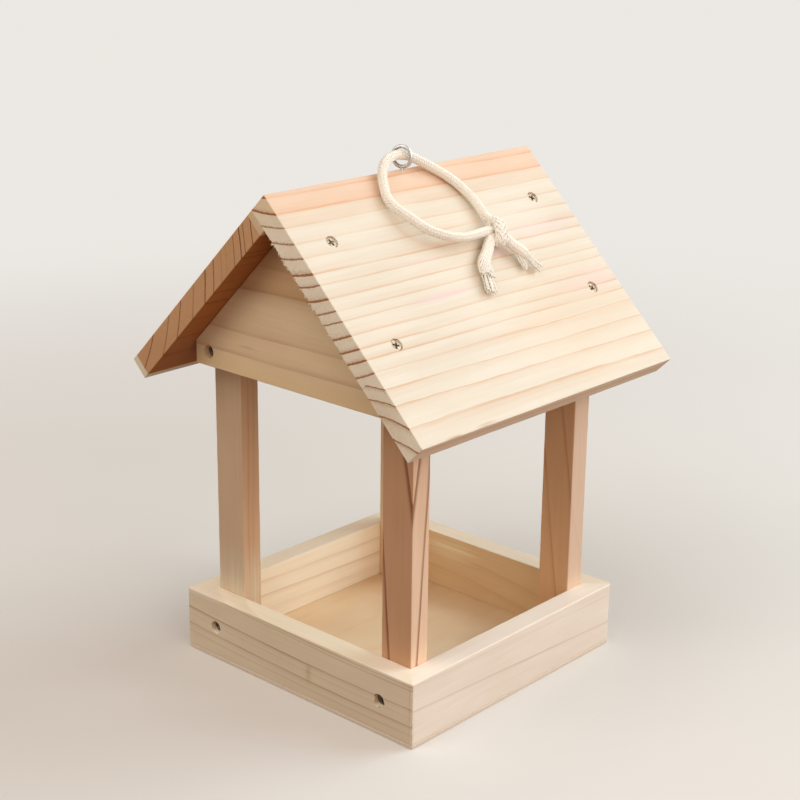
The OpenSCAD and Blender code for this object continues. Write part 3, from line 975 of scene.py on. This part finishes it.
def side_screw_frames(end, height):
    out = Vector((0.0, end, 0.0))
    y = end * (TRAY_HALF - SIDE_SINK)
    return [(Vector((side * SIDE_SCREW_X, y, height)), out) for side in (-1, 1)]


# For each set of screws: the frames of its heads, its board, how deep the heads sit and the length
SCREWS = {}
for board_side, board_name in ((1, "roof_right"), (-1, "roof_left")):
    SCREWS[board_name + "_screws"] = (roof_screw_frames(board_side), board_name, ROOF_SINK,
                                      ROOF_SCREW_LONG)
for board_side, board_name, screw_z in (
        (-1, "gable_front", GABLE_SCREW_Z), (1, "gable_back", GABLE_SCREW_Z),
        (-1, "tray_front", TRAY_SCREW_Z), (1, "tray_back", TRAY_SCREW_Z)):
    SCREWS[board_name + "_screws"] = (side_screw_frames(board_side, screw_z), board_name, SIDE_SINK,
                                      SIDE_SCREW_LONG)


def screw_matrix(place, out, spin=0.0):
    turn = out.to_track_quat("Z", "Y").to_matrix().to_4x4()
    return Matrix.Translation(place) @ turn @ Matrix.Rotation(spin, 4, "Z")


def apply_modifiers(obj):
    graph = bpy.context.evaluated_depsgraph_get()
    mesh = bpy.data.meshes.new_from_object(obj.evaluated_get(graph))
    old = obj.data
    obj.modifiers.clear()
    obj.data = mesh
    mesh.name = old.name
    bpy.data.meshes.remove(old)


def cut_away(obj, parts):
    cutter = parts.piece("cutter", smooth=False)
    modifier = obj.modifiers.new("cut", "BOOLEAN")
    modifier.operation = "DIFFERENCE"
    modifier.solver = "EXACT"
    modifier.object = cutter
    bpy.context.view_layer.update()
    apply_modifiers(obj)
    mesh = cutter.data
    bpy.data.objects.remove(cutter)
    bpy.data.meshes.remove(mesh)


def is_torn(place):
    """The tray's front right hole, whose drill tore the wood."""
    return place.x > 0 and place.y < 0 and place.z < GABLE_LOW


def hole_cutter(parts, frame_of_hole, sink, rng):
    """The countersink of one screw; where the head sits deep, the mouth is torn a little."""
    place, out = frame_of_hole
    head = SCREW_HEAD_D / 2 + HOLE_PLAY
    shank = SCREW_SHANK_D / 2 + HOLE_PLAY
    torn = 0.0
    if sink == SIDE_SINK:
        torn = TORN_MOUTH if is_torn(place) else FRAYED_MOUTH
    mouth = head + 0.5 * torn
    profile = [(mouth, sink + 1.0), (mouth, sink), (head + 0.2 * torn, sink - 0.3),
               (head, sink * 0.4), (head, -0.4), (shank, -2.4), (shank, -16.0)]
    ragged = [torn, torn, 0.6 * torn, 0.2 * torn, 0, 0, 0]
    verts, faces = lathe(profile, HOLE_SIDES, ragged, rng)
    matrix = screw_matrix(place, out)
    parts.add([matrix @ Vector(v) for v in verts], faces)


# Edges sharper than this stay sharp, and a slice this far past each arris keeps the faces flat
BOARD_SHARP = math.radians(38)
ARRIS_GUARD = 0.12


def make_board(name, polygon, axis, low, high, slices, seed, arris=0.55, depth=0.3, chips=(),
               shape=None):
    """One board with eased, slightly uneven arrises and the holes of its screws.

    The slices, [(normal, places), ...], are the cuts that give the arrises vertices to move.
    """
    bm, planes = prism(polygon, axis, low, high)
    eased = [e for e in bm.edges if not any(is_mitre(f.normal) for f in e.link_faces)]
    bmesh.ops.bevel(bm, geom=eased, offset=arris, segments=3, profile=0.5, affect="EDGES",
                    offset_type="OFFSET", clamp_overlap=True)
    for normal, centre in planes:
        if not is_mitre(normal):
            cut_plane(bm, centre - normal * (arris + ARRIS_GUARD), normal)
    for normal, places in slices:
        normal = Vector(normal)
        for place in places:
            cut_plane(bm, normal * place, normal)
    wear(bm, planes, depth, seed, chips)
    if shape:
        for vert in bm.verts:
            shape(vert.co)
    for vert in bm.verts:
        vert.co *= MM
    obj = bmesh_object(name, bm)

    rng = random.Random(int(seed * 10) + 3)
    parts = Parts()
    for frames, holder, sink, _ in SCREWS.values():
        if holder == name.removesuffix("_board"):
            for hole in frames:
                hole_cutter(parts, hole, sink, rng)
    if parts.verts:
        cut_away(obj, parts)
    obj.data.shade_smooth()
    obj.data.set_sharp_from_angle(angle=BOARD_SHARP)
    flatten = obj.modifiers.new("flat_faces", "WEIGHTED_NORMAL")
    flatten.keep_sharp = True
    apply_modifiers(obj)
    return obj


def evenly(low, high, pitch):
    """Places between two ends, about one pitch apart."""
    count = int((high - low) / pitch)
    return [low + (high - low) * k / count for k in range(1, count)]


def box_polygon(x0, x1, y0, y1):
    return [(x0, y0), (x1, y0), (x1, y1), (x0, y1)]


# Chips along the right roof board's front end and its rough eave: their places, reach and bite
TORN_END = range(24, 104, 5)
END_CHIP = (4.0, 1.2)
ROUGH_EAVE = (22, 28, 34, 48, 54, 60, 66)
EAVE_CHIP = (5.0, 0.4)
EAVE_MARGIN = 6
# Slices close to the tray's corners, and where the even ones end
CORNER_GAPS = (0.15, 0.3, 0.5, 0.75, 1.2, 2, 3, 4)
NEAR_CORNER = [side * (TRAY_HALF - gap) for side in (-1, 1) for gap in CORNER_GAPS]
TRAY_EVEN = 94.0
# Radii of the tray's upright corners, and the reach and depth of the nicks on them
WORN_CORNER, EASED_CORNER = 4.0, 1.3
NICK_REACH, NICK_DEPTH = 0.7, 0.55
ROOF_FIBRES, HOLE_FIBRES = 46, 16


def roof_place(side, run, depth):
    """X and Z of a point of a roof board's section, down the slope and into the board."""
    return (side * (run - depth) * HALF, RIDGE - (run + depth) * HALF)


def slope_polygon(side, top):
    return [roof_place(side, run, depth) for run, depth in
            ((top, 0), (ROOF_SLOPE, 0), (ROOF_SLOPE, THICK), (top, THICK))]


def mitred(side_axis, sign):
    """A tray board's trapezium, long on the outside, in X and Y."""
    outer, inner = TRAY_HALF, TRAY_INSIDE
    points = [(-outer, sign * outer), (outer, sign * outer),
              (inner, sign * inner), (-inner, sign * inner)]
    return points if side_axis == "X" else [(b, a) for a, b in points]


def tray_corner(co):
    """Eases the tray's upright corners, nicks their edges, and wears the back right one round."""
    radius = WORN_CORNER if co.x > 0 and co.y > 0 else EASED_CORNER
    start = TRAY_HALF - radius
    dx, dy = abs(co.x) - start, abs(co.y) - start
    if dx <= 0 or dy <= 0:
        return
    far = math.hypot(dx, dy)
    near = max(0.0, 1 - math.hypot(TRAY_HALF - abs(co.x), TRAY_HALF - abs(co.y)) / NICK_REACH)
    rough = noise.noise(Vector((co.x * 0.07, co.y * 0.05, co.z / 1.7)))
    nick = NICK_DEPTH * near * max(0.0, rough)
    keep = min(1.0, radius / far) - nick / max(far, radius)
    co.x = math.copysign(start + dx * keep, co.x)
    co.y = math.copysign(start + dy * keep, co.y)


def pine_board(node, *shape, **wear_of_it):
    """A board of the house in its own pine."""
    piece = make_board(node + "_board", *shape, **wear_of_it)
    dress(piece, "house", BOARDS[node]["slot"], pine(node + "_pine", BOARDS[node]), node)
    return piece.data.materials[0]


def roof_boards():
    """The roof; the right board's saw-torn end and rough eave have chips. Its pine is returned."""
    chips = []
    for run in TORN_END:
        x, z = roof_place(1, run, THICK)
        chips.append(((x, -ROOF_END, z), *END_CHIP))
    x, z = roof_place(1, ROOF_SLOPE, 0)
    for along in ROUGH_EAVE:
        chips.append(((x, along - ROOF_END, z), *EAVE_CHIP))
    rough_part = evenly(ROUGH_EAVE[0] - EAVE_MARGIN - ROOF_END,
                        ROUGH_EAVE[-1] + EAVE_MARGIN - ROOF_END, 0.8)
    even_part = evenly(-ROOF_END, ROOF_END, 4.0)
    top = Vector(SLOPE_R).z * RIDGE
    wood = pine_board(
        "roof_right", slope_polygon(1, 0), "Y", -ROOF_END, ROOF_END,
        [(Y_AXIS, even_part + rough_part), (SLOPE_R, evenly(top, top + ROOF_SLOPE, 1.3))],
        arris=0.4, depth=0.35, seed=1.3, chips=chips)
    pine_board(
        "roof_left", slope_polygon(-1, THICK), "Y", -ROOF_END, ROOF_END,
        [(Y_AXIS, even_part), (SLOPE_L, evenly(top + THICK, top + ROOF_SLOPE, 2.4))],
        arris=0.5, seed=2.1)
    return wood


def gable_boards():
    wide = TRAY_INSIDE
    polygon = [(-wide, GABLE_LOW), (wide, GABLE_LOW), (wide, GABLE_EAVE), (0, GABLE_PEAK),
               (-wide, GABLE_EAVE)]
    slices = [(X_AXIS, evenly(-wide, wide, 2.5)), (Z_AXIS, evenly(GABLE_LOW, GABLE_PEAK, 4.0))]
    pine_board("gable_front", polygon, "Y", -TRAY_HALF, -wide, slices, seed=3.2)
    pine_board("gable_back", polygon, "Y", wide, TRAY_HALF, slices, seed=4.4)


def tray_boards():
    """The tray's frame. The front board's pine is returned."""
    woods = {}
    upright = (Z_AXIS, evenly(FLOOR_THICK, RIM_TOP, 1.0))
    for node, side_axis, sign in (("tray_front", "X", -1), ("tray_back", "X", 1),
                                  ("tray_left", "Y", -1), ("tray_right", "Y", 1)):
        run = X_AXIS if side_axis == "X" else Y_AXIS
        slices = [(run, evenly(-TRAY_EVEN, TRAY_EVEN, 2.5) + NEAR_CORNER), upright]
        woods[node] = pine_board(node, mitred(side_axis, sign), "Z", FLOOR_THICK, RIM_TOP, slices,
                                 arris=0.5, seed=5.1, shape=tray_corner)
    return woods["tray_front"]


def posts():
    left, right = -TRAY_INSIDE, TRAY_INSIDE - POST_WIDE
    front, back = -TRAY_INSIDE, TRAY_INSIDE - THICK
    upright = (Z_AXIS, evenly(FLOOR_THICK, GABLE_EAVE, 3.0))
    for node, x, y, seed in (
            ("post_front_left", left, front, 9.4), ("post_front_right", right, front, 10.6),
            ("post_back_left", left, back, 11.2), ("post_back_right", right, back, 12.9)):
        slices = [upright, (X_AXIS, evenly(x, x + POST_WIDE, 4.0))]
        pine_board(node, box_polygon(x, x + POST_WIDE, y, y + THICK), "Z", FLOOR_THICK, GABLE_EAVE,
                   slices, seed=seed)


def tray_sheet():
    """The plywood under the tray."""
    square = box_polygon(-TRAY_HALF, TRAY_HALF, -TRAY_HALF, TRAY_HALF)
    places = evenly(-TRAY_EVEN, TRAY_EVEN, 4.0) + NEAR_CORNER
    slices = [(X_AXIS, places), (Y_AXIS, places)]
    sheet = make_board("tray_floor_sheet", square, "Z", 0, FLOOR_THICK, slices,
                       arris=0.2, depth=0.15, seed=5.1, shape=tray_corner)
    dress(sheet, "house", "plywood", plywood("floor_plywood"), "tray_floor")


def house_boards():
    roof_pine = roof_boards()
    gable_boards()
    tray_pine = tray_boards()
    posts()
    tray_sheet()
    torn_fibres(roof_pine, tray_pine)


def sliver(parts, root, way, width, bend):
    """A torn fibre: a thin three-sided spike that bends towards its tip."""
    way, bend = Vector(way), Vector(bend)
    side = way.orthogonal().normalized()
    lift = way.cross(side).normalized()
    rings = [(Vector(root) - 0.3 * way, width), (Vector(root) + 0.55 * way + 0.3 * bend, 0.65 * width)]
    verts = []
    for middle, size in rings:
        for k in range(3):
            a = math.tau * k / 3
            verts.append(middle + size * (math.cos(a) * side + math.sin(a) * lift))
    verts.append(Vector(root) + way + bend)
    faces = [(2, 1, 0)]
    for k in range(3):
        n = (k + 1) % 3
        faces += [(k, n, 3 + n, 3 + k), (3 + k, 3 + n, 6)]
    parts.add(verts, faces)


def torn_fibres(roof_pine, tray_pine):
    """Fibres that the saw left on the roof's front end, and the drill at a tray hole."""
    rng = random.Random(31)
    parts = Parts()
    for _ in range(ROOF_FIBRES):
        x, z = roof_place(1, rng.uniform(20, 112), THICK - 0.2)
        reach = rng.uniform(0.6, 1.8)
        way = (-OFF * 0.9 + DOWN * rng.uniform(-0.4, 0.5)) * reach
        way += np.array([0.0, -0.25 * reach, 0.0])
        sliver(parts, (x, -ROOF_END + rng.uniform(0.2, 0.7), z), way, rng.uniform(0.2, 0.45),
               DOWN * rng.uniform(-0.3, 0.5))
    dress(parts.piece("roof_right_fibres", smooth=False), "house", "pine_roof", roof_pine)

    parts = Parts()
    for _ in range(HOLE_FIBRES):
        turn = math.radians(rng.uniform(150, 300))
        out = np.array([math.cos(turn), 0.0, math.sin(turn)])
        root = np.array([SIDE_SCREW_X, -TRAY_HALF + 0.15, TRAY_SCREW_Z]) + rng.uniform(4.0, 4.5) * out
        way = -out * rng.uniform(0.5, 1.3) + np.array([0.0, -rng.uniform(0.1, 0.4), 0.0])
        width = rng.uniform(0.15, 0.3)
        bend = (rng.uniform(-0.2, 0.2), -0.1, rng.uniform(-0.2, 0.2))
        sliver(parts, root, way, width, bend)
    dress(parts.piece("tray_front_fibres", smooth=False), "house", "pine_frame", tray_pine)


# Metal

def zinc(name, base, darker_zinc, rough, scratches=0.05):
    """Zinc plate: fine scratches, cloudy roughness and duller patches."""
    g = Finish(name)
    place = g.millimetres()
    cloud = g.noise(place, detail=3, scale=0.9)
    scratch = g.noise(g.vector("MULTIPLY", place, (9.0, 1.2, 1.2)), detail=2)
    g.bump(scratch, scratches, 0.00005)
    colour = g.mix(g.span(cloud, 0.3, 0.75), base, darker_zinc)
    return g.finish(colour, g.span(cloud, 0.25, 0.75, rough, rough + 0.16), 0.5, Metallic=1.0)


# The driver's cross: height, half length and half width of an arm, from above the head down
RECESS_RINGS = ((0.6, 3.0, 0.85), (0.0, 2.65, 0.78), (-2.1, 0.9, 0.45))
SCREW_SHARP = math.radians(32)


def recess_arm(turned):
    """One arm of a driver's tapered cross, as a cutter with its mouth above the head."""
    verts = []
    for height, reach, half in RECESS_RINGS:
        for a, b in box_polygon(-reach, reach, -half, half):
            verts.append((-b, a, height) if turned else (a, b, height))
    parts = Parts()
    parts.add(verts, skin(len(RECESS_RINGS), 4))
    return parts


def screw_mesh(length):
    """One countersunk screw with a cross recess, its head's top at the origin."""
    head, shank = SCREW_HEAD_D / 2 - 0.2, SCREW_SHANK_D / 2
    profile = [(head - 1.6, -0.3), (head - 0.45, -0.32), (head - 0.1, -0.4), (head, -0.55),
               (head, -0.7), (shank + 0.5, -2.1), (shank, -2.6), (shank * 0.92, 5.0 - length),
               (0.4, -length)]
    parts = Parts()
    parts.add(*lathe(profile, 40))
    obj = parts.piece("screw_blank", smooth=False)
    for turned in (False, True):
        cut_away(obj, recess_arm(turned))
    mesh = obj.data
    bpy.data.objects.remove(obj)
    return mesh


def house_screws():
    # Both zincs are warmed against the cool key light that they reflect; the side screws' zinc is a
    # darker copy, painted shade for heads that sit deep in their holes
    bright = zinc("roof_screw_zinc", srgb(178, 160, 138), srgb(134, 118, 100), 0.4)
    darker_zinc = zinc("side_screw_shaded_zinc", srgb(120, 110, 98), srgb(86, 79, 70), 0.36)
    rng = random.Random(21)
    blanks = {}
    for node, (frames, _, sink, length) in SCREWS.items():
        if length not in blanks:
            blanks[length] = screw_mesh(length)
        bm = bmesh.new()
        for place, out in frames:
            mesh = blanks[length].copy()
            mesh.transform(screw_matrix(place * MM, out, rng.uniform(0, math.pi / 2)))
            bm.from_mesh(mesh)
            bpy.data.meshes.remove(mesh)
        piece = bmesh_object(node + "_set", bm)
        piece.data.shade_smooth()
        piece.data.set_sharp_from_angle(angle=SCREW_SHARP)
        dress(piece, "house", "screw_steel", darker_zinc if sink == SIDE_SINK else bright, node)
    for mesh in blanks.values():
        bpy.data.meshes.remove(mesh)


EYE_RING_R = 6.25
EYE_WIRE_R = 1.25
EYE_HEIGHT = 7.5
EYE_TURN = math.radians(17)
EYE_SHARP = math.radians(50)
EYE_SHANK = (-16, -12, -8, -4, -1, 0.5, 1.3)
RING_POINTS = 56
WIRE_SIDES = 20


def screw_eye():
    """A screw eye: a closed wire ring on a shank that goes into the ridge."""
    ring_way = np.array([math.cos(EYE_TURN), math.sin(EYE_TURN), 0.0])
    through = np.array([-math.sin(EYE_TURN), math.cos(EYE_TURN), 0.0])
    up = np.array(Z_AXIS)
    wire = ellipse(EYE_WIRE_R, EYE_WIRE_R, WIRE_SIDES)
    foot = np.array([0.0, EYE_Y, RIDGE])
    angles = np.linspace(0, math.tau, RING_POINTS, endpoint=False)[:, None]
    out = ring_way * np.cos(angles) + up * np.sin(angles)
    centres = foot + up * EYE_HEIGHT + EYE_RING_R * out
    parts = Parts()
    parts.add(*tube(centres, out, np.tile(through, (len(out), 1)), wire, closed=True))
    shank = np.array([foot + up * h for h in EYE_SHANK])
    parts.add(*tube(shank, *path_frames(shank, ring_way), wire))
    piece = parts.piece("screw_eye_wire")
    piece.data.set_sharp_from_angle(angle=EYE_SHARP)
    plate = zinc("eye_zinc", srgb(206, 206, 202), srgb(176, 173, 166), 0.2, scratches=0.01)
    dress(piece, "house", "zinc_eye", plate, "screw_eye")


# Stage and light

BACKDROP = srgb(236, 232, 227)
SURROUND = (0.36, 0.30, 0.25, 1.0)
# The floor's radius, the distances over which it fades, and its colour to light that it throws back
FLOOR_RADIUS = 14.0
FADE_FROM, FADE_TO = 0.3, 1.3
BOUNCE = (0.16, 0.105, 0.08, 1.0)
LAMP_AIM = Vector((0.0, 0.0, 0.2))
LAMP_DISTANCE = 2.2
# Lamps: the way to each from the house, its size, its level and its colour
LAMPS = {
    "key": ((0.45, 0.72, 0.53), 1.7, 0.72, (0.80, 0.94, 1.0)),
    "side": ((0.97, -0.12, 0.18), 2.4, 0.66, (1.0, 0.88, 0.82)),
    "overhead": ((0.0, -0.5, 0.86), 1.6, 0.28, (0.97, 1.0, 1.0)),
    "front": ((-0.35, -0.80, 0.48), 1.6, 0.21, (1.0, 0.9, 0.8)),
}


def seen_directly(g):
    """1 for rays that show the background itself: from the camera, a mirror or glass."""
    path = g.node("LightPath").outputs
    mirrored = g.math("MAXIMUM", path["Is Camera Ray"], path["Is Glossy Ray"])
    return g.math("MAXIMUM", mirrored, path["Is Transmission Ray"])


def floor():
    """A pale floor that keeps the shadow, throws back little light and fades into the backdrop."""
    bm = bmesh.new()
    bmesh.ops.create_circle(bm, cap_ends=True, segments=96, radius=FLOOR_RADIUS)
    obj = bmesh_object("floor", bm)
    g = Finish("floor_paper")
    place = g.node("TexCoord").outputs["Object"]
    grain = g.noise(place, detail=4, scale=6.0)
    direct = seen_directly(g)
    paper = g.mix(grain, srgb(228, 224, 219), srgb(232, 228, 224))
    g.finish(g.mix(direct, BOUNCE, paper), g.span(grain, 0.0, 1.0, 0.85, 0.95), 0.1)
    glow = g.node("Emission", BACKDROP)
    far = g.times(direct, g.span(g.vector("LENGTH", place), FADE_FROM, FADE_TO))
    g.blend(far, g.shader.outputs["BSDF"], glow.outputs["Emission"])
    obj.data.materials.append(g.material)


def world():
    """An even, warm surround; the camera and metal see a pale backdrop."""
    shell = bpy.data.worlds.new("surround")
    g = Graph(shell, "OutputWorld")
    around, behind = (g.node("Background", colour).outputs[0] for colour in (SURROUND, BACKDROP))
    g.blend(seen_directly(g), around, behind)
    bpy.context.scene.world = shell


def lamp(name, direction, size, level, colour):
    """A soft square lamp aimed at the house; at level 1 a facing surface shows its own colour."""
    data = bpy.data.lights.new(name, "AREA")
    data.shape = "SQUARE"
    data.size = size
    data.energy = level * (math.pi * LAMP_DISTANCE) ** 2
    data.color = colour
    obj = link(name, data)
    way = Vector(direction).normalized()
    obj.location = LAMP_AIM + way * LAMP_DISTANCE
    obj.rotation_euler = way.to_track_quat("Z", "Y").to_euler()


def light():
    world()
    for name, setting in LAMPS.items():
        lamp(name, *setting)


make_camera()
rope_pieces()
house_boards()
house_screws()
screw_eye()
floor()
light()
bpy.context.scene.view_settings.view_transform = "Standard"
